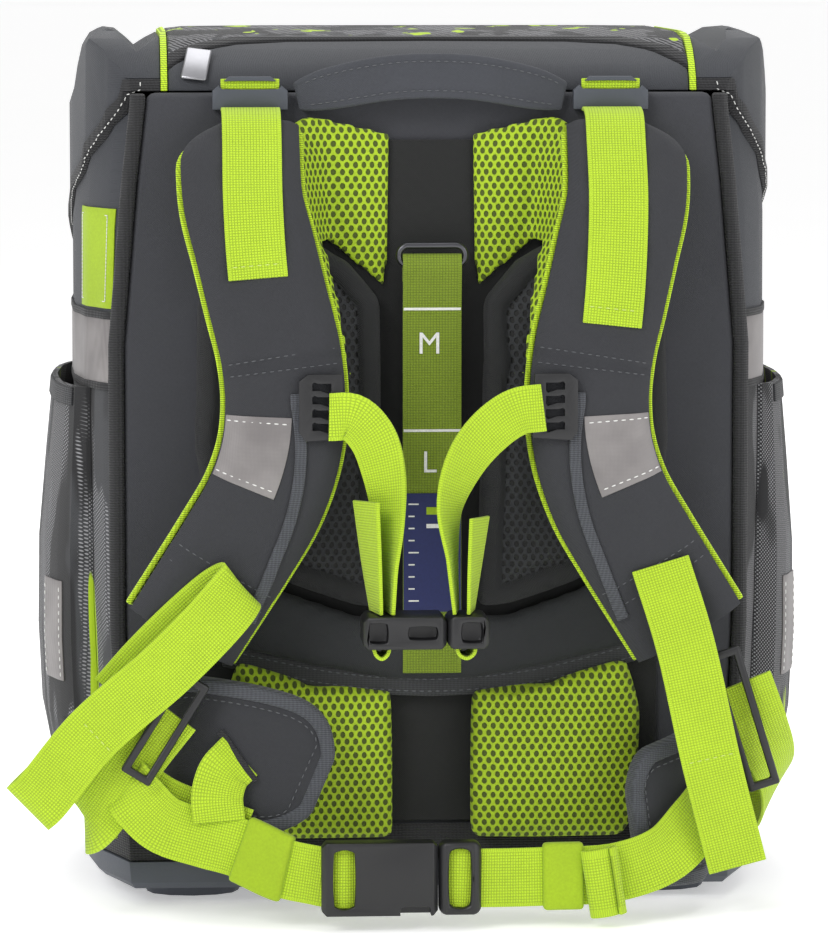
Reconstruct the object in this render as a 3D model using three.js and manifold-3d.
// School ransel: a stiff-backed school bag with an adjustable harness, in millimetres, +Z up.
// It stands on its four feet. The harness side faces -Y and the flap side faces +Y.
import * as THREE from "three";
import { mergeVertices } from "three/addons/utils/BufferGeometryUtils.js";
import Module from "manifold-3d";

const wasm = await Module();
wasm.setup();

// Driving dimensions: the case.
const PANEL_WIDTH = 262; // padded back panel, edge to edge at its widest
const PANEL_THICKNESS = 8;
const PANEL_CORNER = 4;
const PANEL_ROUNDING = 1.6;
const BODY_WIDTH = 306; // across the side walls at mid-depth
const BODY_DEPTH = 196; // from the back panel's outer face to the front wall
const RIM_HEIGHT = 346; // top of the case walls above the floor
const PANEL_RISE = 4; // how far the back panel stands above the rim
const WALL = 2.6; // stiffened fabric wall of the case
const GAP = 0.35; // between pieces that touch

// Driving dimensions: the lid.
const CROWN_RISE = 27; // crown of the lid above the back panel
const LID_WALL = 3;
const LID_SPREAD = 3.8; // how far the lid's sides may stand out past the case
const LID_STANDOFF = 7; // how far the lid's side outline runs past the case's front
const LID_SKIRT = 82; // how far the lid's sides reach down at the front
const FLAP_WIDTH = 240;
const FLAP_DROP = 200; // how far the front flap reaches down from the back panel's top
const LID_BINDING = 5;
const PIPING_WIDTH = 2.8;
const ZIP_WIDTH = 6;
const ZIP_SETBACK = 32; // middle of the zip behind the back panel's face
const TRIM_PROUD = 0.9; // how far the zip, piping and bindings stand out of the lid
const PULLER_WIDTH = 11;
const PULLER_THICKNESS = 1.6;
const CLASP_WIDTH = 28;
const CLASP_HEIGHT = 26;
const CLASP_DEPTH = 6.3;

// Driving dimensions: the plastic base.
const FOOT_HEIGHT = 7;
const FOOT_WIDTH = 48;
const FOOT_DEPTH = 31;
const FOOT_SUNK = 1; // how far a foot's block reaches up into the tray's floor
const TRAY_FLOOR = 3;
const TRAY_RIM = 12;
const TRAY_WALL = 2.6;
const TRAY_TUCK = 3; // how far the tray's underside is drawn in

// Driving dimensions: trims and side pockets.
const BINDING_WIDTH = 6.5;
const BINDING_PROUD = 1.2; // how far the edge binding stands in front of the back panel
const BINDING_INSET = 1.8;
const TAPE_HEIGHT = 15;
const TAPE_THICKNESS = 1.6;
const POCKET_BOTTOM = 42;
const POCKET_HEIGHT = 180;
const POCKET_REACH = 16.5; // how far a pocket bulges out of the side wall
const POCKET_WIDTH = 148;
const POCKET_WALL = 2;
const POCKET_LIP = 2; // how far a pocket's edge stands off the side wall

// Driving dimensions: back padding.
const CARRIER_THICKNESS = 2.2;
const MID_PAD_THICKNESS = 13;
const LUMBAR_PAD_THICKNESS = 15;
const BAND_THICKNESS = 9;
const BAND_ROUNDING = 2;
const PAD_ROUNDING = 4;

// Driving dimensions: webbing and harness.
const WEBBING_WIDTH = 25;
const CHEST_WEBBING_WIDTH = 20;
const WEBBING_THICKNESS = 1.5;
const STRAP_WIDTH = 50; // padded shoulder strap
const STRAP_FOAM = 9;
const LINING_THICKNESS = 3;
const LINING_WIDTH = 52;
const STRAP_STANDOFF = 47.5; // middle of the hanging strap in front of the back panel
const ROOT_FLAT_THICKNESS = 3;
const ROOT_WALL_THICKNESS = 4;
const LIFTER_ACROSS = 77; // middle of a load lifter from the middle of the bag
const LIFTER_CLEARANCE = 0.4; // between a load lifter and the strap under it
const LIFTER_BUCKLE_WIDTH = 32;
const LIFTER_BUCKLE_HEIGHT = 14;
const LIFTER_BUCKLE_THICKNESS = 5;
const SLIDER_WIDTH = 19;
const SLIDER_HEIGHT = 28;
const SLIDER_THICKNESS = 3.2;
const SLIDER_CLEARANCE = 0.8; // between a slider and the curved strap under it
const RING_WIDTH = 31;
const RING_HEIGHT = 11;
const RING_BAR = 2.6;
const HANDLE_SPAN = 114;
const HANDLE_REACH = 15.5;
const HANDLE_RISE = 7; // middle of the handle above the back panel's top
const HANDLE_WIDTH = 19;
const HANDLE_TAPER = 7;
const HANDLE_THICKNESS = 3.2;
const CHEST_REACH = 66.5; // middle of the chest buckle in front of the back panel
const CHEST_BUCKLE_HEIGHT = 13.5;
const CHEST_BUCKLE_DEPTH = 25;
const CHEST_SOCKET_LENGTH = 35;
const CHEST_PLUG_LENGTH = 17.6;
const BELT_REACH = 65; // middle of the hip buckle in front of the back panel
const HIP_BUCKLE_HEIGHT = 31;
const HIP_BUCKLE_DEPTH = 10;
const HIP_SOCKET_LENGTH = 49;
const HIP_PLUG_LENGTH = 18;
const BUCKLE_CHAMFER = 2;
const KEEPER_THICKNESS = 5.4;
const KEEPER_WALL = 1.5;
const ROLL_HEIGHT = 31; // folded end of the belt's webbing
const ROLL_WIDTH = 13;
const ROLL_DEPTH = 9;
const LADDER_BAR = 3.2;
const LADDER_WIDTH = 14;
const LADDER_THICKNESS = 4;
const FIN_THICKNESS = 9;
const FIN_HEIGHT = 66;
const FIN_EDGE = 3; // how far a fin's rounded edge reaches in

// Worked out from the driving dimensions.
const HALF_PANEL = PANEL_WIDTH / 2;
const HALF_BODY = BODY_WIDTH / 2;
const PANEL_TOP = RIM_HEIGHT + PANEL_RISE;
const LID_HALF = HALF_BODY + LID_SPREAD;
const LID_DEPTH = BODY_DEPTH + LID_STANDOFF;
const FLAP_BOTTOM = PANEL_TOP - FLAP_DROP;
const TRAY_BASE = FOOT_HEIGHT;
const TRAY_TOP = TRAY_BASE + TRAY_RIM;
const CASE_BOTTOM = TRAY_BASE + TRAY_FLOOR + GAP;
const CASE_BACK = PANEL_THICKNESS + GAP;
const TAPE_BOTTOM = TRAY_TOP + GAP;
const TAPE_TOP = TAPE_BOTTOM + TAPE_HEIGHT;
const CARRIER_FACE = -GAP - CARRIER_THICKNESS;
const PAD_BACK = CARRIER_FACE - GAP;
const HEIGHT_PLANE = PAD_BACK - BAND_THICKNESS - GAP - WEBBING_THICKNESS / 2;
const STRAP_BACK = -STRAP_FOAM / 2;
const STRAP_FACE = STRAP_FOAM / 2;
const BEYOND = 2 * (PANEL_TOP + CROWN_RISE); // farther out than any part of the bag

const SIDES = [
  { side: -1, word: "left" },
  { side: 1, word: "right" },
];

const mm = (x, y, z) => new THREE.Vector3(x, y, z);
const radians = THREE.MathUtils.degToRad;

// Reads a column of a table at a position along its first column, smoothly between the rows.
function readColumn(table, along, position, column) {
  const last = table.length - 1;
  if (position <= table[0][along]) return table[0][column];
  if (position >= table[last][along]) return table[last][column];
  const i = table.findIndex((row) => row[along] > position) - 1;
  const share = (position - table[i][along]) / (table[i + 1][along] - table[i][along]);
  return THREE.MathUtils.lerp(table[i][column], table[i + 1][column], share);
}

// Triangles over a flat-ish ring of points, as index triples into it.
function capTriangles(ring) {
  const normal = mm(0, 0, 0);
  ring.forEach((p, i) => {
    const q = ring[(i + 1) % ring.length];
    normal.add(mm((p.y - q.y) * (p.z + q.z), (p.z - q.z) * (p.x + q.x), (p.x - q.x) * (p.y + q.y)));
  });
  normal.normalize();
  const helper = Math.abs(normal.z) < 0.9 ? mm(0, 0, 1) : mm(1, 0, 0);
  const u = helper.clone().cross(normal).normalize();
  const v = normal.clone().cross(u);
  const flat = ring.map((p) => new THREE.Vector2(p.dot(u), p.dot(v)));
  return THREE.ShapeUtils.triangulateShape(flat, []);
}

// A closed solid through rings of points that all have the same count. A looped loft joins its last
// ring to its first, and any other loft is capped at both ends.
function loft(rings, { looped = false } = {}) {
  const count = rings[0].length;
  const positions = rings.flat().flatMap((p) => [p.x, p.y, p.z]);
  const index = [];
  const spans = looped ? rings.length : rings.length - 1;
  for (let r = 0; r < spans; r++) {
    const next = (r + 1) % rings.length;
    for (let i = 0; i < count; i++) {
      const j = (i + 1) % count;
      const [a, b, c, d] = [r * count + i, r * count + j, next * count + j, next * count + i];
      index.push(a, b, c, a, c, d);
    }
  }
  if (!looped) {
    const lastStart = (rings.length - 1) * count;
    capTriangles(rings[0]).forEach(([a, b, c]) => index.push(a, c, b));
    const lastCap = capTriangles(rings.at(-1)).flat();
    index.push(...lastCap.map((corner) => lastStart + corner));
  }
  const geometry = new THREE.BufferGeometry();
  geometry.setAttribute("position", new THREE.Float32BufferAttribute(positions, 3));
  geometry.setIndex(index);
  return facingOut(geometry);
}

function signedVolume(geometry) {
  const p = geometry.getAttribute("position");
  const corner = (i) => mm(0, 0, 0).fromBufferAttribute(p, i);
  let volume = 0;
  for (let i = 0; i < geometry.index.count; i += 3) {
    const [a, b, c] = [0, 1, 2].map((k) => corner(geometry.index.getX(i + k)));
    volume += a.dot(b.cross(c)) / 6;
  }
  return volume;
}

function facingOut(geometry) {
  if (signedVolume(geometry) >= 0) return geometry;
  const order = Array.from(geometry.index.array);
  for (let i = 0; i < order.length; i += 3) [order[i + 1], order[i + 2]] = [order[i + 2], order[i + 1]];
  geometry.setIndex(order);
  return geometry;
}

// Only positions, with shared corners merged.
function welded(geometry) {
  const bare = geometry.clone();
  for (const name of Object.keys(bare.attributes)) if (name !== "position") bare.deleteAttribute(name);
  return mergeVertices(bare, 1e-4);
}

function toManifold(geometry) {
  const bare = welded(geometry);
  const vertProperties = new Float32Array(bare.getAttribute("position").array);
  const triVerts = new Uint32Array(bare.index.array);
  return new wasm.Manifold(new wasm.Mesh({ numProp: 3, vertProperties, triVerts }));
}

function fromManifold(solid) {
  const { vertProperties, triVerts, numProp } = solid.getMesh();
  const positions = [];
  for (let i = 0; i < vertProperties.length; i += numProp) {
    positions.push(...vertProperties.subarray(i, i + 3));
  }
  const geometry = new THREE.BufferGeometry();
  geometry.setAttribute("position", new THREE.Float32BufferAttribute(positions, 3));
  geometry.setIndex(Array.from(triVerts));
  return geometry;
}

const allManifolds = (geometries) => geometries.map(toManifold);
const join = (...geometries) => fromManifold(allManifolds(geometries).reduce((a, b) => a.add(b)));
const common = (...geometries) => fromManifold(allManifolds(geometries).reduce((a, b) => a.intersect(b)));
const cut = (...geometries) => fromManifold(allManifolds(geometries).reduce((a, b) => a.subtract(b)));

// A ring moved inwards in its own horizontal plane by one wall thickness.
function inset(ring, distance) {
  const area = ring.reduce((sum, p, i) => {
    const q = ring[(i + 1) % ring.length];
    return sum + p.x * q.y - q.x * p.y;
  }, 0);
  const inward = Math.sign(area);
  return ring.map((p, i) => {
    const before = ring[(i + ring.length - 1) % ring.length];
    const after = ring[(i + 1) % ring.length];
    const one = mm(before.y - p.y, p.x - before.x, 0).normalize();
    const two = mm(p.y - after.y, after.x - p.x, 0).normalize();
    const bisector = one.clone().add(two).normalize();
    const stretch = Math.min(2, 1 / Math.max(0.2, bisector.dot(one)));
    return p.clone().addScaledVector(bisector, inward * distance * stretch);
  });
}

// A band swept along smooth rows. Each row holds its centre and the way its face looks. section gives
// the outline as [across, outward] pairs for that place, so that a band can taper or wrap an edge.
function sweep(rows, steps, section, from = 0, to = 1) {
  const centres = new THREE.CatmullRomCurve3(rows.map((row) => row.at), false, "centripetal");
  const faces = new THREE.CatmullRomCurve3(rows.map((row) => row.face), false, "catmullrom");
  const rings = [];
  for (let i = 0; i <= steps; i++) {
    const t = THREE.MathUtils.lerp(from, to, i / steps);
    const tangent = centres.getTangent(t);
    const across = faces.getPoint(t).cross(tangent).normalize();
    const outward = tangent.clone().cross(across).normalize();
    const at = centres.getPoint(t);
    const corner = ([a, o]) => at.clone().addScaledVector(across, a).addScaledVector(outward, o);
    rings.push(section(t).map(corner));
  }
  return loft(rings);
}

// A flat band's outline, lying between two heights on the face that it follows.
const layer = (width, low, high) => [
  [-width / 2, low],
  [width / 2, low],
  [width / 2, high],
  [-width / 2, high],
];
const rectangle = (width, thickness) => layer(width, -thickness / 2, thickness / 2);
const webbing = (rows, steps, width = WEBBING_WIDTH) =>
  sweep(rows, steps, () => rectangle(width, WEBBING_THICKNESS));

// The way a face looks, from two angles in degrees: pitch turns it from the wearer's side up over
// the top, and yaw turns it towards +X.
function facing(pitch, yaw = 0) {
  const [p, w] = [radians(pitch), radians(yaw)];
  return mm(Math.sin(w) * Math.cos(p), -Math.cos(w) * Math.cos(p), Math.sin(p));
}

// Rows of a band from a table of shares: across of the back panel's half-width, up of its top, and
// reach of the given distance in front of it.
const path = (table, reachSize, side = 1) =>
  table.map(({ across, reach, up, pitch = 0, yaw = 0 }) => ({
    at: mm(side * across * HALF_PANEL, -reach * reachSize, up * PANEL_TOP),
    face: facing(pitch, side * yaw),
  }));

// A flat plate, or a pad with rounded front edges, with its outline in X and Z. Its back lies at
// y = back and its face at y = back - thickness.
function pad(outline, back, thickness, round = 0, segments = 2) {
  const shape = new THREE.Shape(outline.map(([x, z]) => new THREE.Vector2(x, z)));
  const geometry = new THREE.ExtrudeGeometry(shape, {
    depth: thickness - round,
    bevelEnabled: round > 0,
    bevelThickness: round,
    bevelSize: round,
    bevelOffset: -round,
    bevelSegments: segments,
  });
  geometry.rotateX(Math.PI / 2);
  geometry.translate(0, back, 0);
  if (round === 0) return geometry;
  return cut(geometry, box([-BEYOND, BEYOND], [back, back + 2 * round], [-BEYOND, BEYOND]));
}

function box([x0, x1], [y0, y1], [z0, z1]) {
  const solid = new THREE.BoxGeometry(x1 - x0, y1 - y0, z1 - z0);
  return solid.translate((x0 + x1) / 2, (y0 + y1) / 2, (z0 + z1) / 2);
}

// An outline in X and Z from a table of shares of the back panel's half-width and of its top.
const onPanel = (table, side = 1) =>
  table.map(({ across, up }) => [side * across * HALF_PANEL, up * PANEL_TOP]);

// A half outline that starts and ends at the middle, with its mirror image added.
const bothHalves = (outline) => [...outline, ...outline.map(([x, z]) => [-x, z]).reverse()];

// Edge of the back panel: half-width as a share of its half-width at each share of the rim height.
const PANEL_EDGE = [
  { up: 0, half: 0.955 },
  { up: 0.08, half: 0.97 },
  { up: 0.35, half: 1 },
  { up: 0.7, half: 1 },
  { up: 0.9, half: 0.955 },
  { up: 1, half: 0.925 },
];
const panelHalf = (z) => HALF_PANEL * readColumn(PANEL_EDGE, "up", z / RIM_HEIGHT, "half");

// Swell of the side walls over the case's height.
const SIDE_SWELL = [
  { up: 0, half: 0.945 },
  { up: 0.12, half: 0.97 },
  { up: 0.5, half: 1 },
  { up: 0.85, half: 1 },
  { up: 1, half: 0.985 },
];
const bodyHalf = (z) => HALF_BODY * readColumn(SIDE_SWELL, "up", z / RIM_HEIGHT, "half");

// Plan of the case from the back corner round to the front: deep is a share of the depth, and out
// is how far the wall has moved from the back corner to the full half-width.
const PLAN = [
  { deep: 0, out: 0.1 },
  { deep: 0.05, out: 0.42 },
  { deep: 0.14, out: 0.74 },
  { deep: 0.3, out: 0.95 },
  { deep: 0.52, out: 1 },
  { deep: 0.76, out: 0.93 },
  { deep: 0.88, out: 0.72 },
  { deep: 0.955, out: 0.28 },
  { deep: 0.99, out: -0.6 },
  { deep: 1, out: -2.4 },
];
const wallAt = (y, z) => {
  const deep = (y - CASE_BACK) / (BODY_DEPTH - CASE_BACK);
  return panelHalf(z) + (bodyHalf(z) - panelHalf(z)) * readColumn(PLAN, "deep", deep, "out");
};

// One horizontal ring of the case, grown outwards by some distance, with its back edge at y = back.
function planRing(z, grow = 0, back = CASE_BACK) {
  const halfRing = PLAN.map(({ deep, out }) => {
    const y = CASE_BACK + deep * (BODY_DEPTH - CASE_BACK);
    return mm(panelHalf(z) + (bodyHalf(z) - panelHalf(z)) * out, y, z);
  });
  const ring = [...halfRing, ...halfRing.map((p) => mm(-p.x, p.y, z)).reverse()];
  const grown = grow ? inset(ring, -grow) : ring;
  const isBack = (p) => p.y < CASE_BACK + 1;
  return grown.map((p) => (isBack(p) ? mm(p.x, back - grow, z) : p));
}

const CASE_LEVELS = [0, 0.08, 0.35, 0.6, 0.85, 1];
const caseLevels = () => CASE_LEVELS.map((share) => CASE_BOTTOM + share * (RIM_HEIGHT - CASE_BOTTOM));

// The whole case as a solid block, grown by a distance.
const caseSolid = (grow) => loft(caseLevels().map((z) => planRing(z, grow)));

function caseShell() {
  const levels = caseLevels();
  const outer = levels.map((z) => planRing(z));
  const floorRaised = (p, i) => mm(p.x, p.y, i === 0 ? p.z + WALL : p.z);
  const inner = levels.map((z, i) => inset(planRing(z), WALL).map((p) => floorRaised(p, i)));
  return loft([...outer, ...inner.reverse()]);
}

// Heights of the panel edge's knots between two heights, so that what follows the edge bends with it.
const panelKnots = (low, high) => {
  const knots = PANEL_EDGE.map(({ up }) => up * RIM_HEIGHT);
  return [low, ...knots.filter((z) => z > low + 1 && z < high - 1), high];
};

function backPanel() {
  const shoulder = PANEL_TOP - PANEL_CORNER;
  const edge = panelKnots(CASE_BOTTOM, shoulder).map((z) => [panelHalf(z), z]);
  const arc = [30, 60, 90].map((angle) => {
    const half = panelHalf(shoulder) - PANEL_CORNER;
    const [x, z] = [Math.cos(radians(angle)), Math.sin(radians(angle))];
    return [half + PANEL_CORNER * x, shoulder + PANEL_CORNER * z];
  });
  return pad(bothHalves([...edge, ...arc]), PANEL_THICKNESS, PANEL_THICKNESS, PANEL_ROUNDING, 1);
}

// Ribbed tape down one side edge of the back panel, from the lid to the base tape.
function edgeBinding(side) {
  const [near, far] = [-BINDING_PROUD, PANEL_THICKNESS - BINDING_INSET];
  const rings = panelKnots(TAPE_TOP + GAP, PANEL_TOP - GAP).map((z) => {
    const inner = side * (panelHalf(z) + GAP);
    const middle = inner + side * 0.6 * BINDING_WIDTH;
    const outer = inner + side * BINDING_WIDTH;
    const slope = 0.4 * (far - near);
    return [
      mm(inner, near, z),
      mm(middle, near, z),
      mm(outer, near + slope, z),
      mm(outer, far, z),
      mm(inner, far, z),
    ];
  });
  return loft(rings);
}

// Places of the feet, as shares of the back panel's half-width and of the depth.
const FEET = [
  { across: -0.78, deep: 0.16 },
  { across: 0.78, deep: 0.16 },
  { across: -0.78, deep: 0.84 },
  { across: 0.78, deep: 0.84 },
];
const FOOT_SIDES = 12;
const FOOT_TAPER = 0.83; // a foot's underside as a share of its top

// Moulded tray under the case with four feet.
function baseTray() {
  const grow = GAP + TRAY_WALL;
  const outside = (z, tuck) => planRing(z, grow - tuck, 0);
  const inside = (z) => planRing(z, GAP, 0);
  const dish = loft([
    outside(TRAY_BASE, TRAY_TUCK),
    outside(TRAY_BASE + TRAY_FLOOR, 0),
    outside(TRAY_TOP, 0),
    inside(TRAY_TOP),
    inside(TRAY_BASE + TRAY_FLOOR),
  ]);
  const height = FOOT_HEIGHT + FOOT_SUNK;
  const feet = FEET.map(({ across, deep }) => {
    const foot = new THREE.CylinderGeometry(1, FOOT_TAPER, height, FOOT_SIDES).rotateX(Math.PI / 2);
    foot.scale(FOOT_WIDTH / 2, FOOT_DEPTH / 2, 1);
    return foot.translate(across * HALF_PANEL, deep * BODY_DEPTH, height / 2);
  });
  return join(dish, ...feet);
}

// Ribbed tape wound once round the case above the tray.
function baseTape() {
  const rim = (height, grow) => planRing(height, grow, 0);
  const outer = GAP + TAPE_THICKNESS;
  return loft([rim(TAPE_BOTTOM, outer), rim(TAPE_TOP, outer), rim(TAPE_TOP, GAP), rim(TAPE_BOTTOM, GAP)], {
    looped: true,
  });
}

// Outline of the lid seen from the side: deep is a share of the lid's depth, and rise a share of the
// crown's rise above the back panel. It runs from the seam over the crown to the front flap.
const LID_SIDE_VIEW = [
  { deep: 0.025, rise: 0.025 },
  { deep: 0.035, rise: 0.22 },
  { deep: 0.06, rise: 0.44 },
  { deep: 0.1, rise: 0.67 },
  { deep: 0.15, rise: 0.83 },
  { deep: 0.3, rise: 0.94 },
  { deep: 0.5, rise: 1 },
  { deep: 0.71, rise: 0.93 },
  { deep: 0.86, rise: 0.7 },
  { deep: 0.945, rise: 0.37 },
  { deep: 0.985, rise: -0.15 },
  { deep: 1, rise: -1.1 },
];
const lidSideView = () => [
  ...LID_SIDE_VIEW.map(({ deep, rise }) => ({ y: deep * LID_DEPTH, z: PANEL_TOP + rise * CROWN_RISE })),
  { y: LID_DEPTH, z: FLAP_BOTTOM },
];

// Outline of the lid seen from the back, from the middle out: a padded ear stands up at each side
// beyond a notch. out is a share of the lid's half-width.
const LID_BACK_VIEW = [
  { out: 0, rise: 1.04 },
  { out: 0.663, rise: 0.98 },
  { out: 0.72, rise: 0.91 },
  { out: 0.765, rise: 0.76 },
  { out: 0.797, rise: 0.63 },
  { out: 0.823, rise: 0.78 },
  { out: 0.855, rise: 0.94 },
  { out: 0.887, rise: 0.98 },
  { out: 0.925, rise: 0.85 },
  { out: 0.947, rise: 0.63 },
  { out: 0.96, rise: 0.3 },
  { out: 0.97, rise: -0.07 },
  { out: 1, rise: -0.55 },
];
const lidBackView = () => [
  ...LID_BACK_VIEW.map(({ out, rise }) => ({ x: out * LID_HALF, z: PANEL_TOP + rise * CROWN_RISE })),
  { x: LID_HALF, z: FLAP_BOTTOM },
];

// Lower edge of the lid's side from the back seam to the front: drop is a share of the skirt's depth.
const LID_SIDE_EDGE = [
  { deep: 0.052, drop: 0.09 },
  { deep: 0.112, drop: 0.235 },
  { deep: 0.23, drop: 0.44 },
  { deep: 0.41, drop: 0.61 },
  { deep: 0.715, drop: 0.83 },
  { deep: 0.98, drop: 1 },
];
const lidSideEdge = () => [
  { y: -GAP, z: PANEL_TOP + 2 * GAP },
  { y: CASE_BACK, z: PANEL_TOP + 2 * GAP },
  ...LID_SIDE_EDGE.map(({ deep, drop }) => ({ y: deep * BODY_DEPTH, z: PANEL_TOP - drop * LID_SKIRT })),
  { y: BEYOND, z: PANEL_TOP - LID_SKIRT },
];

// A block with an outline in Y and Z, as wide as twice the given half-width.
const extrudeAcross = (outline, half) => {
  const shape = new THREE.Shape(outline.map(({ y, z }) => new THREE.Vector2(y, z)));
  const geometry = new THREE.ExtrudeGeometry(shape, { depth: 2 * half, bevelEnabled: false });
  geometry.rotateY(Math.PI / 2);
  geometry.rotateX(Math.PI / 2);
  return geometry.translate(-half, 0, 0);
};

// A block with an outline in X and Z, from one depth to another.
const extrudeDeep = (outline, from, to) => {
  const shape = new THREE.Shape(outline.map(({ x, z }) => new THREE.Vector2(x, z)));
  const geometry = new THREE.ExtrudeGeometry(shape, { depth: to - from, bevelEnabled: false });
  geometry.rotateX(Math.PI / 2);
  return geometry.translate(0, to, 0);
};

// Moves an open outline inwards by a distance, in its own plane.
function shrunk(outline, u, v, distance) {
  return outline.map((p, i) => {
    const a = outline[Math.max(0, i - 1)];
    const b = outline[Math.min(outline.length - 1, i + 1)];
    const length = Math.hypot(b[u] - a[u], b[v] - a[v]);
    const step = distance / length;
    return { [u]: p[u] + (b[v] - a[v]) * step, [v]: p[v] - (b[u] - a[u]) * step };
  });
}

// The lid's block, shrunk by a distance on all its outer faces.
function lidBlock(distance) {
  const sideView = shrunk(lidSideView(), "y", "z", distance);
  const backView = shrunk(lidBackView(), "x", "z", distance);
  const below = FLAP_BOTTOM - LID_SKIRT / 2;
  const [seam, front] = [sideView[0].y, sideView.at(-1).y];
  const side = extrudeAcross([...sideView, { y: front, z: below }, { y: seam, z: below }], BEYOND);
  const half = [...backView, { x: backView.at(-1).x, z: below }];
  const mirror = half.slice(1).map(({ x, z }) => ({ x: -x, z }));
  const back = extrudeDeep([...mirror.reverse(), ...half], -BEYOND, BEYOND);
  const grow = GAP + LID_WALL - distance;
  const plan = loft([planRing(below, grow), planRing(PANEL_TOP + 2 * CROWN_RISE, grow)]);
  return common(side, back, plan);
}

function lidShell(outer) {
  const hollow = cut(lidBlock(outer), lidBlock(LID_WALL), caseSolid(GAP));
  const front = [BODY_DEPTH - 2 * LID_WALL, BEYOND];
  const flap = box([-FLAP_WIDTH / 2, FLAP_WIDTH / 2], front, [FLAP_BOTTOM, BEYOND]);
  return common(hollow, join(sideEdgeRegion(0, BEYOND), flap));
}

// Region above the lower edge of the lid's sides, between two distances from it.
function sideEdgeRegion(low, high) {
  const raised = (height) => lidSideEdge().map(({ y, z }) => ({ y, z: z + height }));
  return extrudeAcross([...raised(low), ...raised(high).reverse()], BEYOND);
}

// Plan of the zip across the back of the lid from the middle out: across is a share of the seam's
// distance from the middle, and back a share of the zip's setback.
const ZIP_PLAN = [
  { across: 0, back: 1 },
  { across: 0.54, back: 0.97 },
  { across: 0.735, back: 0.89 },
  { across: 0.88, back: 0.69 },
  { across: 1.03, back: 0.36 },
];
const LID_SEAM = 0.712 * LID_HALF; // from the middle to the seam beside the piping
const zipLine = () => {
  const half = ZIP_PLAN.map(({ across, back }) => [across * LID_SEAM, back * ZIP_SETBACK]);
  const mirror = half.slice(1).map(([x, y]) => [-x, y]);
  return [...mirror.reverse(), ...half];
};

// Region between two distances behind the zip's middle line, over the whole height.
function zipRegion(from, to) {
  const line = zipLine();
  const front = line.map(([x, y]) => [x, y + from]);
  const rear = line.map(([x, y]) => [x, y + to]);
  const outline = [...front, ...rear.reverse()];
  return loft([0, BEYOND].map((z) => outline.map(([x, y]) => mm(x, y, z))));
}

// Region beside the middle, from one distance to another on one side.
const lidSide = (side, from, to) => {
  const range = [side * from, side * to].sort((a, b) => a - b);
  return box(range, [-BEYOND, BEYOND], [0, BEYOND]);
};

// Pull tab of the zip, lying against the lid's back slope: rise is a share of the crown's rise.
const PULLER_ENDS = [
  { out: 0.625, rise: 0.6 },
  { out: 0.644, rise: 0.13 },
];
const PULLER_STANDOFF = PULLER_THICKNESS / 2 + 2.1; // the slope bulges between the tab's ends
const BACK_SLOPE = LID_SIDE_VIEW.filter((row, i) => i === 0 || row.rise > LID_SIDE_VIEW[i - 1].rise);

function zipPuller() {
  const slope = facing(45);
  const rows = PULLER_ENDS.map(({ out, rise }) => {
    const y = readColumn(BACK_SLOPE, "rise", rise, "deep") * LID_DEPTH;
    const at = mm(-out * LID_HALF, y, PANEL_TOP + rise * CROWN_RISE);
    return { at: at.addScaledVector(slope, PULLER_STANDOFF), face: slope };
  });
  return sweep(rows, 1, () => rectangle(PULLER_WIDTH, PULLER_THICKNESS));
}

// Clasp on the hidden front of the flap, in one plain piece.
function frontClasp() {
  const back = BODY_DEPTH + LID_WALL + 2 * GAP;
  const low = FLAP_BOTTOM + 2 * LID_WALL;
  return box([-CLASP_WIDTH / 2, CLASP_WIDTH / 2], [back, back + CLASP_DEPTH], [low, low + CLASP_HEIGHT]);
}

// Rows of a side pocket from its bottom to its open top: up is a share of the pocket's height, and
// bulge a share of its reach.
const POCKET_SHAPE = [
  { up: 0, bulge: 0.3 },
  { up: 0.055, bulge: 0.75 },
  { up: 0.19, bulge: 0.98 },
  { up: 0.38, bulge: 1 },
  { up: 0.6, bulge: 0.88 },
  { up: 0.82, bulge: 0.62 },
  { up: 1, bulge: 0.42 },
];
const POCKET_DEEP = 0.53; // middle of a pocket as a share of the depth
const POCKET_ROOT = 0.84; // where a pocket's block ends inside the case, as a share of the half panel
const POCKET_SPANS = 10;
const POCKET_FULLNESS = 0.7;

function pocketRing(side, z, bulge, shrink) {
  const middle = POCKET_DEEP * BODY_DEPTH;
  const half = POCKET_WIDTH / 2 - 1.5 * shrink;
  const points = [];
  for (let i = 0; i <= POCKET_SPANS; i++) {
    const angle = (Math.PI * i) / POCKET_SPANS;
    const y = middle - half * Math.cos(angle);
    const out = POCKET_REACH * bulge * Math.sin(angle) ** POCKET_FULLNESS;
    points.push(mm(side * (wallAt(y, z) + GAP + POCKET_LIP + out - shrink), y, z));
  }
  const root = side * POCKET_ROOT * HALF_PANEL;
  return [...points, mm(root, points.at(-1).y, z), mm(root, points[0].y, z)];
}

function sidePocket(side) {
  const level = (up) => POCKET_BOTTOM + up * POCKET_HEIGHT;
  const outer = loft(POCKET_SHAPE.map(({ up, bulge }) => pocketRing(side, level(up), bulge, 0)));
  const cavity = POCKET_SHAPE.map(({ up, bulge }, i) => {
    const floor = i === 0 ? WALL : 0;
    return pocketRing(side, level(up) + floor, bulge, POCKET_WALL);
  });
  const mouth = POCKET_SHAPE.at(-1);
  const above = pocketRing(side, level(mouth.up) + POCKET_REACH, mouth.bulge, POCKET_WALL);
  return cut(outer, loft([...cavity, above]), caseSolid(GAP));
}

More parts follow.
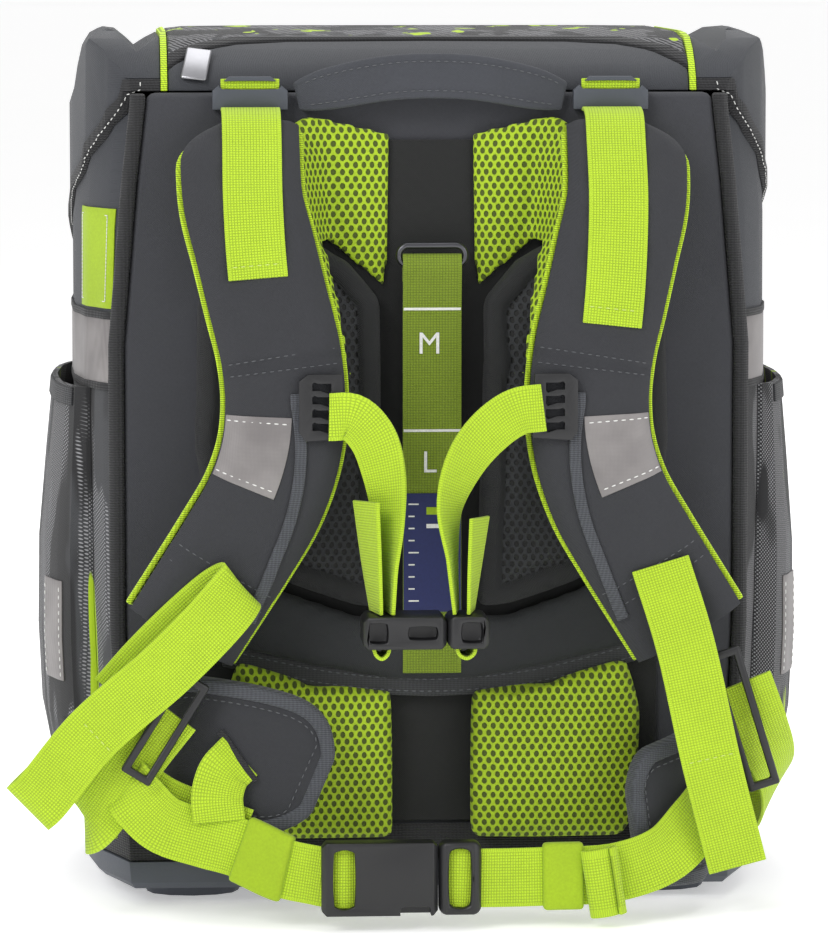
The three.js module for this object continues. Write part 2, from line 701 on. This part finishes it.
// Outlines of the padding on the back, from the middle out and round.
const CARRIER_HALF = [
  { across: 0.672, up: 0.103 },
  { across: 0.748, up: 0.171 },
  { across: 0.748, up: 0.857 },
  { across: 0.672, up: 0.943 },
];
const MID_PAD = [
  { across: 0.149, up: 0.371 },
  { across: 0.244, up: 0.374 },
  { across: 0.473, up: 0.403 },
  { across: 0.733, up: 0.457 },
  { across: 0.779, up: 0.571 },
  { across: 0.763, up: 0.749 },
  { across: 0.672, up: 0.809 },
  { across: 0.366, up: 0.817 },
  { across: 0.275, up: 0.797 },
  { across: 0.168, up: 0.749 },
];
const LUMBAR_BAND_HALF = [
  { across: 0.137, up: 0.279 },
  { across: 0.382, up: 0.295 },
  { across: 0.664, up: 0.321 },
  { across: 0.733, up: 0.434 },
  { across: 0.473, up: 0.391 },
  { across: 0.244, up: 0.364 },
];
const LUMBAR_PAD = [
  { across: 0.13, up: 0.086 },
  { across: 0.626, up: 0.086 },
  { across: 0.672, up: 0.114 },
  { across: 0.687, up: 0.24 },
  { across: 0.641, up: 0.306 },
  { across: 0.382, up: 0.281 },
  { across: 0.13, up: 0.266 },
];

const carrierPanel = () => pad(bothHalves(onPanel(CARRIER_HALF)), -GAP, CARRIER_THICKNESS);
const midPad = (side) => pad(onPanel(MID_PAD, side), PAD_BACK, MID_PAD_THICKNESS, PAD_ROUNDING);
const lumbarPad = (side) => pad(onPanel(LUMBAR_PAD, side), PAD_BACK, LUMBAR_PAD_THICKNESS, PAD_ROUNDING);
const lumbarBand = () =>
  pad(bothHalves(onPanel(LUMBAR_BAND_HALF)), PAD_BACK, BAND_THICKNESS, BAND_ROUNDING, 1);

// Room that a middle pad takes, grown a little about its own middle, for what is cut clear of it.
const MID_PAD_MIDDLE = { across: 0.473, up: 0.594 };
const MID_PAD_GROWTH = 1.02;
function midPadEnvelope(side) {
  const grown = MID_PAD.map(({ across, up }) => ({
    across: MID_PAD_MIDDLE.across + (across - MID_PAD_MIDDLE.across) * MID_PAD_GROWTH,
    up: MID_PAD_MIDDLE.up + (up - MID_PAD_MIDDLE.up) * MID_PAD_GROWTH,
  }));
  return pad(onPanel(grown, side), 0, MID_PAD_THICKNESS - PAD_BACK + GAP);
}

// Path of a shoulder strap on the right side from its top to its end, through the middle of its foam.
// reach is a share of the strap's standoff.
const STRAP_PATH = [
  { across: 0.626, reach: 0.274, up: 0.974, pitch: 35 },
  { across: 0.626, reach: 0.484, up: 0.934, pitch: 27 },
  { across: 0.618, reach: 0.695, up: 0.874, pitch: 18 },
  { across: 0.58, reach: 0.821, up: 0.814, pitch: 12 },
  { across: 0.542, reach: 0.916, up: 0.754, pitch: 8 },
  { across: 0.504, reach: 0.979, up: 0.694, pitch: 3 },
  { across: 0.489, reach: 1, up: 0.634, pitch: 0 },
  { across: 0.504, reach: 1, up: 0.574, pitch: -3 },
  { across: 0.557, reach: 0.979, up: 0.514, pitch: -6 },
  { across: 0.649, reach: 0.937, up: 0.454, pitch: -8 },
  { across: 0.748, reach: 0.874, up: 0.394, pitch: -10 },
  { across: 0.824, reach: 0.821, up: 0.349, pitch: -12 },
];
const strapRows = (side) => path(STRAP_PATH, STRAP_STANDOFF, side);
const STRAP_STEPS = 22;
const strapLayer = (side, outline) => sweep(strapRows(side), STRAP_STEPS, () => outline);
const PADDED_STRAP = [
  [-STRAP_WIDTH / 2, STRAP_BACK],
  [STRAP_WIDTH / 2, STRAP_BACK],
  [STRAP_WIDTH / 2, STRAP_FOAM * 0.1],
  [STRAP_WIDTH * 0.4, STRAP_FACE],
  [-STRAP_WIDTH * 0.4, STRAP_FACE],
  [-STRAP_WIDTH / 2, STRAP_FOAM * 0.1],
];
const shoulderStrap = (side) => strapLayer(side, PADDED_STRAP);
const strapLining = (side) =>
  strapLayer(side, layer(LINING_WIDTH, STRAP_BACK - GAP - LINING_THICKNESS, STRAP_BACK - GAP));
const strapEnvelope = (side) =>
  strapLayer(
    side,
    layer(LINING_WIDTH + 2 * GAP, STRAP_BACK - LINING_THICKNESS - 2 * GAP, STRAP_FACE + GAP),
  );

// Flat part of a strap's root on the back, and the rolled wall from it forward to the strap's inner
// edge. In the wall's rows, back and front are its two ends.
const ROOT_FLAT = [
  { across: 0.13, up: 0.951 },
  { across: 0.237, up: 0.961 },
  { across: 0.397, up: 0.974 },
  { across: 0.458, up: 0.963 },
  { across: 0.458, up: 0.829 },
  { across: 0.366, up: 0.829 },
  { across: 0.145, up: 0.761 },
];
const ROOT_WALL = [
  { up: 0.966, back: 0.397, backReach: 0.095, front: 0.473, frontReach: 0.253 },
  { up: 0.92, back: 0.374, backReach: 0.095, front: 0.466, frontReach: 0.505 },
  { up: 0.871, back: 0.366, backReach: 0.095, front: 0.458, frontReach: 0.674 },
  { up: 0.831, back: 0.366, backReach: 0.126, front: 0.435, frontReach: 0.779 },
  { up: 0.786, back: 0.351, backReach: 0.442, front: 0.412, frontReach: 0.842 },
  { up: 0.72, back: 0.313, backReach: 0.716, front: 0.366, frontReach: 0.926 },
  { up: 0.663, back: 0.29, backReach: 0.842, front: 0.328, frontReach: 0.958 },
];
const ROOT_BULGE = 0.9; // how far the rolled wall bows out, as a share of its thickness
const ROOT_HOLLOW = 0.15;

function rootWallRing(side, { up, back, backReach, front, frontReach }) {
  const start = new THREE.Vector2(back * HALF_PANEL, -backReach * STRAP_STANDOFF);
  const end = new THREE.Vector2(front * HALF_PANEL, -frontReach * STRAP_STANDOFF);
  const along = end.clone().sub(start).normalize();
  const off = new THREE.Vector2(along.y, -along.x).multiplyScalar(ROOT_WALL_THICKNESS);
  const halfway = start.clone().lerp(end, 0.5);
  const outline = [
    start,
    halfway.clone().addScaledVector(off, -ROOT_BULGE),
    end,
    end.clone().add(off),
    halfway.clone().addScaledVector(off, ROOT_HOLLOW),
    start.clone().add(off),
  ];
  return outline.map((p) => mm(side * p.x, p.y, up * PANEL_TOP));
}

function strapRoot(side) {
  const back = CARRIER_FACE - GAP;
  const flat = pad(onPanel(ROOT_FLAT, side), back, ROOT_FLAT_THICKNESS);
  const wall = loft(ROOT_WALL.map((row) => rootWallRing(side, row)));
  const keep = box([-BEYOND, BEYOND], [-BEYOND, back], [0, BEYOND]);
  return cut(common(join(flat, wall), keep), strapEnvelope(side), midPadEnvelope(side));
}

// Load lifter over the top of a strap: along is a share of the strap's length in rows, and shift moves
// the webbing across the strap. The first row is where it leaves its buckle.
const LIFTER_PATH = [
  { along: 0, shift: -5 },
  { along: 0.09, shift: -5 },
  { along: 0.18, shift: -4 },
  { along: 0.27, shift: 0 },
  { along: 0.35, shift: 3 },
  { along: 0.41, shift: 5 },
];
const LIFTER_ROWS = { left: 5, right: 6 }; // the left lifter is pulled shorter
const LIFTER_TOP = { reach: 0.145, up: 1.003, pitch: 20 };

function lifterWebbing(side, word) {
  const rows = strapRows(1);
  const centres = new THREE.CatmullRomCurve3(rows.map((row) => row.at), false, "centripetal");
  const faces = new THREE.CatmullRomCurve3(rows.map((row) => row.face), false, "catmullrom");
  const lift = STRAP_FACE + LIFTER_CLEARANCE + WEBBING_THICKNESS / 2;
  const onStrap = LIFTER_PATH.slice(0, LIFTER_ROWS[word]).map(({ along, shift }) => {
    const face = faces.getPoint(along).normalize();
    const at = centres.getPoint(along).addScaledVector(face, lift);
    return { at: at.add(mm(shift, 0, 0)), face };
  });
  const top = {
    at: mm(LIFTER_ACROSS, -LIFTER_TOP.reach * STRAP_STANDOFF, LIFTER_TOP.up * PANEL_TOP),
    face: facing(LIFTER_TOP.pitch),
  };
  const mirror = (p) => mm(side * p.x, p.y, p.z);
  return webbing([top, ...onStrap].map(({ at, face }) => ({ at: mirror(at), face: mirror(face) })), 12);
}

// Plate buckle of a load lifter, with a low arch over its top.
const LIFTER_BUCKLE = [
  { across: -0.5, up: -0.5 },
  { across: 0.5, up: -0.5 },
  { across: 0.5, up: 0.07 },
  { across: 0.28, up: 0.5 },
  { across: -0.28, up: 0.5 },
  { across: -0.5, up: 0.07 },
];
function lifterBuckle(side) {
  const outline = LIFTER_BUCKLE.map(({ across, up }) => [
    side * LIFTER_ACROSS + across * LIFTER_BUCKLE_WIDTH,
    PANEL_TOP + up * LIFTER_BUCKLE_HEIGHT,
  ]);
  return pad(outline, -GAP, LIFTER_BUCKLE_THICKNESS);
}

// Comb plate that the chest webbing slides on, lying over the strap's inner edge.
const SLIDER_PLACE = { across: 0.374, up: 0.629 };
const SLIDER_OUTLINE = [
  { across: -0.5, up: -0.46 },
  { across: 0.37, up: -0.5 },
  { across: 0.5, up: -0.36 },
  { across: 0.5, up: 0.4 },
  { across: 0.3, up: 0.5 },
  { across: -0.45, up: 0.5 },
];
const SLIDER_SLOTS = [-0.34, -0.14, 0.06, 0.26]; // lower edges of the slots, as shares of the height
const SLIDER_SLOT = { width: 0.42, height: 0.107 };
const sliderBack = -(STRAP_STANDOFF + STRAP_FACE + SLIDER_CLEARANCE);

function slider(side) {
  const [x, z] = [side * SLIDER_PLACE.across * HALF_PANEL, SLIDER_PLACE.up * PANEL_TOP];
  const outline = SLIDER_OUTLINE.map(({ across, up }) => [
    x + side * across * SLIDER_WIDTH,
    z + up * SLIDER_HEIGHT,
  ]);
  const half = (SLIDER_SLOT.width * SLIDER_WIDTH) / 2;
  const slots = SLIDER_SLOTS.map((low) => {
    const bottom = z + low * SLIDER_HEIGHT;
    const range = [bottom, bottom + SLIDER_SLOT.height * SLIDER_HEIGHT];
    return box([x - half, x + half], [-BEYOND, 0], range);
  });
  return cut(pad(outline, sliderBack, SLIDER_THICKNESS), ...slots);
}

// Chest webbing from its slider down to the buckle, where it turns on edge. Its free end comes back up
// beside it. reach is a share of the chest buckle's reach.
const CHEST_PATHS = {
  left: [
    { across: -0.305, reach: 0.862, up: 0.631 },
    { across: -0.229, reach: 0.895, up: 0.606, yaw: -6 },
    { across: -0.16, reach: 0.947, up: 0.554, yaw: -25 },
    { across: -0.137, reach: 0.977, up: 0.497, yaw: -50 },
    { across: -0.14, reach: 0.992, up: 0.437, yaw: -75 },
    { across: -0.145, reach: 1, up: 0.386, yaw: -82 },
  ],
  right: [
    { across: 0.282, reach: 0.862, up: 0.64 },
    { across: 0.191, reach: 0.895, up: 0.617, yaw: 8 },
    { across: 0.084, reach: 0.947, up: 0.569, yaw: 30 },
    { across: 0.031, reach: 0.977, up: 0.514, yaw: 55 },
    { across: 0.038, reach: 0.992, up: 0.451, yaw: 75 },
    { across: 0.05, reach: 1, up: 0.386, yaw: 82 },
  ],
};
const CHEST_TAILS = {
  left: [
    { across: -0.222, reach: 1, up: 0.52, yaw: -64 },
    { across: -0.205, reach: 1, up: 0.45, yaw: -72 },
    { across: -0.19, reach: 1, up: 0.386, yaw: -80 },
  ],
  right: [
    { across: 0.125, reach: 1, up: 0.5, yaw: 64 },
    { across: 0.11, reach: 1, up: 0.44, yaw: 72 },
    { across: 0.098, reach: 1, up: 0.386, yaw: 80 },
  ],
};
const CHEST_BEND = 4; // height of the bend where the free end meets the strap at the buckle

function chestWebbing(word) {
  const main = path(CHEST_PATHS[word], CHEST_REACH);
  const tail = path(CHEST_TAILS[word], CHEST_REACH);
  const ends = [main.at(-1).at.x, tail.at(-1).at.x].sort((a, b) => a - b);
  const low = main.at(-1).at.z;
  const deep = [-CHEST_REACH - CHEST_WEBBING_WIDTH * 0.3, -CHEST_REACH + CHEST_WEBBING_WIDTH * 0.3];
  const bend = box(ends, deep, [low, low + CHEST_BEND]);
  return join(webbing(main, 12, CHEST_WEBBING_WIDTH), webbing(tail, 4, CHEST_WEBBING_WIDTH), bend);
}

// One half of a side-release buckle, with its edges drawn in at both ends.
function buckleHalf([x0, x1], middle, depth, low, height) {
  const ring = (x, drawn) => [
    mm(x, -middle - depth / 2 + drawn, low + drawn),
    mm(x, -middle + depth / 2 - drawn, low + drawn),
    mm(x, -middle + depth / 2 - drawn, low + height - drawn),
    mm(x, -middle - depth / 2 + drawn, low + height - drawn),
  ];
  const stations = [
    [x0, BUCKLE_CHAMFER],
    [x0 + BUCKLE_CHAMFER, 0],
    [x1 - BUCKLE_CHAMFER, 0],
    [x1, BUCKLE_CHAMFER],
  ];
  return loft(stations.map(([x, drawn]) => ring(x, drawn)));
}
const CHEST_JOINT = { across: 0.015, up: 0.346 }; // where socket and plug meet, and their underside
const HIP_JOINT = { across: -0.008, up: 0.02 };

function buckle(joint, socketLength, plugLength, reach, depth, height) {
  const [x, low] = [joint.across * HALF_PANEL, joint.up * PANEL_TOP];
  return {
    socket: buckleHalf([x - socketLength, x], reach, depth, low, height),
    plug: buckleHalf([x + GAP, x + GAP + plugLength], reach, depth - 2 * GAP, low, height),
  };
}

// Webbing below the left strap's end: out behind, then folded back over the front.
const LOWER_BACK_LEFT = [
  { across: -1.115, reach: 0.863, up: 0.286 },
  { across: -0.9, reach: 0.981, up: 0.346 },
  { across: -0.733, reach: 1.015, up: 0.389 },
];
const LOWER_FRONT_LEFT = [
  { across: -0.641, reach: 1.168, up: 0.394 },
  { across: -0.9, reach: 1.19, up: 0.303 },
  { across: -1.313, reach: 1.158, up: 0.157 },
];
const LOWER_FOLD = {
  across: [-0.718, -0.641],
  reach: [1.01, 1.18],
  up: [0.371, 0.411],
};
const LOWER_RIGHT = [
  { across: 0.718, reach: 1.059, up: 0.437 },
  { across: 0.794, reach: 1.179, up: 0.343 },
  { across: 0.878, reach: 1.263, up: 0.2 },
  { across: 0.969, reach: 1.221, up: 0.069 },
];
function lowerWebbingLeft() {
  const fold = box(
    LOWER_FOLD.across.map((share) => share * HALF_PANEL),
    LOWER_FOLD.reach.map((share) => -share * STRAP_STANDOFF).reverse(),
    LOWER_FOLD.up.map((share) => share * PANEL_TOP),
  );
  const tables = [LOWER_BACK_LEFT, LOWER_FRONT_LEFT];
  const strands = tables.map((table) => webbing(path(table, STRAP_STANDOFF), 6));
  return join(...strands, fold);
}

// Webbing from each ladder buckle round to the lower corner of the case.
const ANCHOR_PATHS = {
  left: [
    { across: -0.885, reach: 1.051, up: 0.246 },
    { across: -0.962, reach: 0.979, up: 0.214 },
    { across: -1.061, reach: 0.758, up: 0.163, yaw: -20 },
    { across: -1.092, reach: 0.379, up: 0.129, yaw: -60 },
    { across: -1.034, reach: 0.051, up: 0.12, yaw: -78 },
  ],
  right: [
    { across: 0.992, reach: 0.998, up: 0.291 },
    { across: 1.053, reach: 0.905, up: 0.234, yaw: 10 },
    { across: 1.122, reach: 0.632, up: 0.171, yaw: 40 },
    { across: 1.107, reach: 0.295, up: 0.131, yaw: 60 },
    { across: 1.034, reach: 0.051, up: 0.12, yaw: 78 },
  ],
};

// Ladder buckles seen nearly along their webbing, each a frame between its two ends.
const LADDERS = {
  left: { ends: [{ across: -0.779, up: 0.303 }, { across: -0.977, up: 0.183 }], reach: 1.118 },
  right: { ends: [{ across: 0.924, up: 0.331 }, { across: 1.061, up: 0.163 }], reach: 1.063 },
};
function ladderBuckle(word) {
  const { ends, reach } = LADDERS[word];
  const [from, to] = onPanel(ends).map(([x, z]) => new THREE.Vector2(x, z));
  const middle = from.clone().lerp(to, 0.5);
  const angle = Math.atan2(to.y - from.y, to.x - from.x);
  const frame = ringFrame(from.distanceTo(to), LADDER_WIDTH, LADDER_BAR, LADDER_THICKNESS);
  return frame.rotateY(-angle).translate(middle.x, -reach * STRAP_STANDOFF, middle.y);
}

// An upright rectangular frame about the origin.
function ringFrame(width, height, bar, thickness) {
  const plate = (grow, deeper) => new THREE.BoxGeometry(width + grow, thickness + deeper, height + grow);
  return cut(plate(0, 0), plate(-2 * bar, thickness));
}

// Height webbing down the middle, and the ring that it hangs from.
const HEIGHT_TOP = 0.787;
const HEIGHT_BOTTOM = 0.291;
function heightWebbing() {
  const half = WEBBING_THICKNESS / 2;
  const deep = [HEIGHT_PLANE - half, HEIGHT_PLANE + half];
  const up = [HEIGHT_BOTTOM * PANEL_TOP, HEIGHT_TOP * PANEL_TOP];
  return box([-WEBBING_WIDTH / 2, WEBBING_WIDTH / 2], deep, up);
}
const heightRing = () =>
  ringFrame(RING_WIDTH, RING_HEIGHT, RING_BAR, 2 * WEBBING_THICKNESS)
    .translate(0, HEIGHT_PLANE, HEIGHT_TOP * PANEL_TOP + GAP + RING_HEIGHT / 2);

// Padded wings of the hip belt, wrapped forward from the back panel.
const FIN_PATHS = {
  left: [
    { across: -0.855, reach: 0.019, up: 0.183, yaw: -90 },
    { across: -0.878, reach: 0.337, up: 0.191, yaw: -85 },
    { across: -0.832, reach: 0.653, up: 0.2, yaw: -55 },
    { across: -0.702, reach: 0.853, up: 0.203, yaw: -15 },
    { across: -0.534, reach: 0.926, up: 0.194, yaw: -5 },
    { across: -0.382, reach: 0.968, up: 0.171 },
  ],
  right: [
    { across: 0.863, reach: 0.019, up: 0.149, yaw: 90 },
    { across: 0.885, reach: 0.316, up: 0.137, yaw: 85 },
    { across: 0.84, reach: 0.632, up: 0.131, yaw: 60 },
    { across: 0.748, reach: 0.842, up: 0.126, yaw: 35 },
    { across: 0.649, reach: 0.968, up: 0.12, yaw: 20 },
  ],
};
const FIN_OUTLINE = [
  { along: 0, half: 0.36 },
  { along: 0.2, half: 0.44 },
  { along: 0.5, half: 0.5 },
  { along: 0.8, half: 0.455 },
  { along: 0.93, half: 0.333 },
  { along: 1, half: 0.182 },
];
function finSection(along) {
  const half = readColumn(FIN_OUTLINE, "along", along, "half") * FIN_HEIGHT;
  const [thin, thick] = [FIN_THICKNESS / 4, FIN_THICKNESS / 2];
  const full = half - FIN_EDGE;
  const face = [[half, thin], [full, thick], [-full, thick], [-half, thin]];
  return [...face.map(([across, out]) => [-across, -out]), ...face];
}

// Fins end against the back panel and clear of the base tape.
function hipFin(word) {
  const fin = sweep(path(FIN_PATHS[word], STRAP_STANDOFF), 12, finSection);
  const panelSide = box([-BEYOND, BEYOND], [-GAP, BEYOND], [-BEYOND, BEYOND]);
  const tapeFace = -2 * GAP - TAPE_THICKNESS;
  const tapeSide = box([-BEYOND, BEYOND], [tapeFace, BEYOND], [-BEYOND, TAPE_TOP + GAP]);
  return cut(fin, panelSide, tapeSide);
}

// Hip belt on each side of its buckle. reach is a share of the hip buckle's reach.
const BELT_PATHS = {
  left: [
    { across: -1.023, reach: 0.754, up: 0.163 },
    { across: -0.885, reach: 0.754, up: 0.133 },
    { across: -0.756, reach: 0.762, up: 0.113 },
    { across: -0.641, reach: 0.808, up: 0.096 },
    { across: -0.504, reach: 0.892, up: 0.074 },
    { across: -0.405, reach: 0.954, up: 0.067 },
  ],
  right: [
    { across: 0.137, reach: 1, up: 0.063 },
    { across: 0.344, reach: 0.969, up: 0.063 },
    { across: 0.58, reach: 0.923, up: 0.066 },
    { across: 0.74, reach: 0.862, up: 0.086 },
    { across: 0.84, reach: 0.754, up: 0.12 },
    { across: 0.908, reach: 0.585, up: 0.143 },
  ],
};
// The belt's webbing comes out of a slot in the left fin and runs down to the keeper.
const FIN_STRAND = [
  { across: -0.67, reach: 0.755, up: 0.2 },
  { across: -0.69, reach: 0.785, up: 0.16 },
  { across: -0.695, reach: 0.795, up: 0.125 },
];
const FIN_STRAND_WIDTH = 18;
const KEEPER_SPANS = {
  left: { from: 0.6, to: 0.83, clear: 0.06 },
  right: { from: 0.19, to: 0.3, clear: 0.06 },
};
const ROLL_PLACE = { across: 0.55, reach: 0.985, up: 0.054, tilt: -8 };

const beltRows = (word) => path(BELT_PATHS[word], BELT_REACH);
const hipBeltLeft = () =>
  join(webbing(beltRows("left"), 12), webbing(path(FIN_STRAND, BELT_REACH), 4, FIN_STRAND_WIDTH));

// The free end of the right belt is rolled up in front of it.
function hipBeltRight() {
  const { across, reach, up, tilt } = ROLL_PLACE;
  const roll = new THREE.CylinderGeometry(1, 1, ROLL_HEIGHT, 8).rotateX(Math.PI / 2);
  roll.scale(ROLL_WIDTH / 2, ROLL_DEPTH / 2, 1).rotateY(radians(tilt));
  roll.translate(across * HALF_PANEL, -reach * BELT_REACH, up * PANEL_TOP);
  return join(webbing(beltRows("right"), 12), roll);
}

// Elastic sleeve that holds the layers of the belt together.
function beltKeeper(word) {
  const { from, to, clear } = KEEPER_SPANS[word];
  const width = WEBBING_WIDTH + 2 * KEEPER_WALL + 2 * GAP;
  const outer = sweep(beltRows(word), 3, () => rectangle(width, KEEPER_THICKNESS), from, to);
  const room = () => rectangle(WEBBING_WIDTH + 2 * GAP, WEBBING_THICKNESS + 2 * GAP);
  return cut(outer, sweep(beltRows(word), 5, room, from - clear, to + clear));
}

// Carry handle between the straps: across is a share of half its span, and rise a share of its rise
// above the back panel's top.
const HANDLE_PATH = [
  { across: -1, reach: 0.13, rise: -0.21, yaw: -10 },
  { across: -0.72, reach: 0.55, rise: 0.36, yaw: -25 },
  { across: -0.263, reach: 1, rise: 1 },
  { across: 0.263, reach: 1, rise: 1 },
  { across: 0.72, reach: 0.55, rise: 0.36, yaw: 25 },
  { across: 1, reach: 0.13, rise: -0.21, yaw: 10 },
];
function carryHandle() {
  const rows = HANDLE_PATH.map(({ across, reach, rise, yaw = 0 }) => ({
    at: mm((across * HANDLE_SPAN) / 2, -reach * HANDLE_REACH, PANEL_TOP + rise * HANDLE_RISE),
    face: facing(0, yaw),
  }));
  const width = (t) => HANDLE_WIDTH - HANDLE_TAPER * (2 * t - 1) ** 4;
  return sweep(rows, 14, (t) => rectangle(width(t), HANDLE_THICKNESS));
}

const FINISHES = {
  cover: { color: "#48494e", roughness: 0.9, metalness: 0 },
  dark: { color: "#2d2f2f", roughness: 0.9, metalness: 0 },
  print: { color: "#2a2a2c", roughness: 0.85, metalness: 0 },
  ribbon: { color: "#17171a", roughness: 0.85, metalness: 0 },
  mesh: { color: "#222426", roughness: 0.95, metalness: 0 },
  lime: { color: "#bee037", roughness: 0.85, metalness: 0 },
  greyPlastic: { color: "#484c54", roughness: 0.5, metalness: 0 },
  blackPlastic: { color: "#19191b", roughness: 0.45, metalness: 0 },
  silver: { color: "#a8a9ad", roughness: 0.3, metalness: 1 },
};
const group = new THREE.Group();

function add(name, geometry, finish) {
  const mesh = new THREE.Mesh(geometry, new THREE.MeshStandardMaterial(FINISHES[finish]));
  mesh.name = name;
  group.add(mesh);
}

// Case and base.
add("case_shell", caseShell(), "print");
add("back_panel", backPanel(), "cover");
add("base_tray", baseTray(), "greyPlastic");
add("base_tape", baseTape(), "ribbon");

// Lid: its shell is parted along the zip, the piping and the side bindings.
const lidWhole = lidShell(0);
const lidProud = lidShell(-TRIM_PROUD);
const lidMiddle = lidSide(1, -LID_SEAM, LID_SEAM);
const zipEdge = ZIP_WIDTH / 2;
add("lid_top", common(lidWhole, lidMiddle, zipRegion(zipEdge + GAP, BEYOND)), "print");
add("lid_back_strip", common(lidWhole, lidMiddle, zipRegion(-BEYOND, -zipEdge - GAP)), "cover");
add("zip_chain", common(lidProud, lidMiddle, zipRegion(-zipEdge, zipEdge)), "ribbon");
add("zip_puller", zipPuller(), "silver");
add("front_clasp", frontClasp(), "silver");

// Back padding.
add("carrier_panel", carrierPanel(), "dark");
add("lumbar_band", lumbarBand(), "dark");
add("height_webbing", heightWebbing(), "lime");
add("height_ring", heightRing(), "silver");
add("carry_handle", carryHandle(), "cover");

// Pieces that come once on each side.
for (const { side, word } of SIDES) {
  const piping = { from: LID_SEAM + GAP, to: LID_SEAM + GAP + PIPING_WIDTH };
  const pipingRegion = lidSide(side, piping.from, piping.to);
  const outside = lidSide(side, piping.to + GAP, BEYOND);
  add("lid_piping_" + word, common(lidProud, pipingRegion, sideEdgeRegion(0, BEYOND)), "lime");
  add("lid_side_" + word, common(lidWhole, outside, sideEdgeRegion(LID_BINDING + GAP, BEYOND)), "cover");
  add("lid_binding_" + word, common(lidProud, outside, sideEdgeRegion(0, LID_BINDING)), "ribbon");
  add("edge_binding_" + word, edgeBinding(side), "ribbon");
  add("side_pocket_" + word, sidePocket(side), "print");
  add("mid_pad_" + word, midPad(side), "mesh");
  add("lumbar_pad_" + word, lumbarPad(side), "lime");
  add("shoulder_strap_" + word, shoulderStrap(side), "cover");
  add("strap_lining_" + word, strapLining(side), "lime");
  add("strap_root_" + word, strapRoot(side), "lime");
  add("slider_" + word, slider(side), "blackPlastic");
  add("lifter_webbing_" + word, lifterWebbing(side, word), "lime");
  add("lifter_buckle_" + word, lifterBuckle(side), "greyPlastic");
  add("chest_webbing_" + word, chestWebbing(word), "lime");
  add("anchor_webbing_" + word, webbing(path(ANCHOR_PATHS[word], STRAP_STANDOFF), 8), "lime");
  add("ladder_buckle_" + word, ladderBuckle(word), "blackPlastic");
  add("hip_fin_" + word, hipFin(word), "cover");
  add("belt_keeper_" + word, beltKeeper(word), "lime");
}

// Buckles and the webbing that differs left and right.
const chest = buckle(
  CHEST_JOINT,
  CHEST_SOCKET_LENGTH,
  CHEST_PLUG_LENGTH,
  CHEST_REACH,
  CHEST_BUCKLE_DEPTH,
  CHEST_BUCKLE_HEIGHT,
);
add("chest_buckle_socket", chest.socket, "blackPlastic");
add("chest_buckle_plug", chest.plug, "blackPlastic");
const hip = buckle(
  HIP_JOINT,
  HIP_SOCKET_LENGTH,
  HIP_PLUG_LENGTH,
  BELT_REACH,
  HIP_BUCKLE_DEPTH,
  HIP_BUCKLE_HEIGHT,
);
add("hip_buckle_socket", hip.socket, "blackPlastic");
add("hip_buckle_plug", hip.plug, "blackPlastic");
add("lower_webbing_left", lowerWebbingLeft(), "lime");
add("lower_webbing_right", webbing(path(LOWER_RIGHT, STRAP_STANDOFF), 10), "lime");
add("hip_belt_left", hipBeltLeft(), "lime");
add("hip_belt_right", hipBeltRight(), "lime");

// The object's box stands with the middle of its underside on the origin.
const bounds = new THREE.Box3().setFromObject(group);
const middle = bounds.getCenter(mm(0, 0, 0));
for (const mesh of group.children) mesh.geometry.translate(-middle.x, -middle.y, -bounds.min.z);

export default group;
